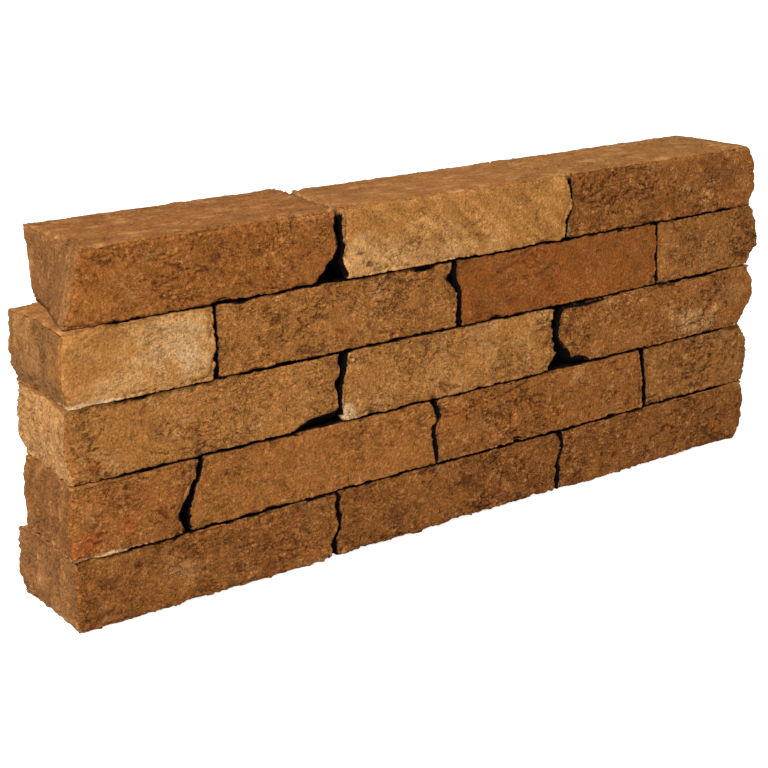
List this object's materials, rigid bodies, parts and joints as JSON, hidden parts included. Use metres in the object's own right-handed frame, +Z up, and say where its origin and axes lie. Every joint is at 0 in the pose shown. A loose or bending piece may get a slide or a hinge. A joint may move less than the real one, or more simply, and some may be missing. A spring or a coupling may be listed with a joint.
{
  "type": "dry-laid stack of bricks",
  "caption": "Free-standing dry-laid stack of rustic hand-moulded bricks in stretcher bond, with worn arrises, ragged ends and half bats closing every other course.",
  "frame": {"origin": "centre of the bounding box, on the bed that the stack stands on", "axes": "+X along the stack, +Y from the front face to the back, +Z up"},
  "size_m": [0.7734, 0.111, 0.3],
  "materials": {
    "umber_clay": "matte",
    "brown_clay": "matte",
    "rust_clay": "matte",
    "ochre_clay": "matte",
    "buff_clay": "matte"
  },
  "bodies": {
    "root": {"course_1_stretcher_left": "umber_clay", "course_1_stretcher_middle": "umber_clay", "course_1_stretcher_right": "umber_clay", "course_2_half_bat_left": "rust_clay", "course_2_stretcher_left": "brown_clay", "course_2_stretcher_right": "brown_clay", "course_2_half_bat_right": "umber_clay", "course_3_stretcher_left": "ochre_clay", "course_3_stretcher_middle": "ochre_clay", "course_3_stretcher_right": "ochre_clay", "course_4_half_bat_left": "buff_clay", "course_4_stretcher_left": "brown_clay", "course_4_stretcher_right": "rust_clay", "course_4_half_bat_right": "ochre_clay", "course_5_stretcher_left": "brown_clay", "course_5_stretcher_middle": "buff_clay", "course_5_stretcher_right": "rust_clay"}
  },
  "joints": []
}
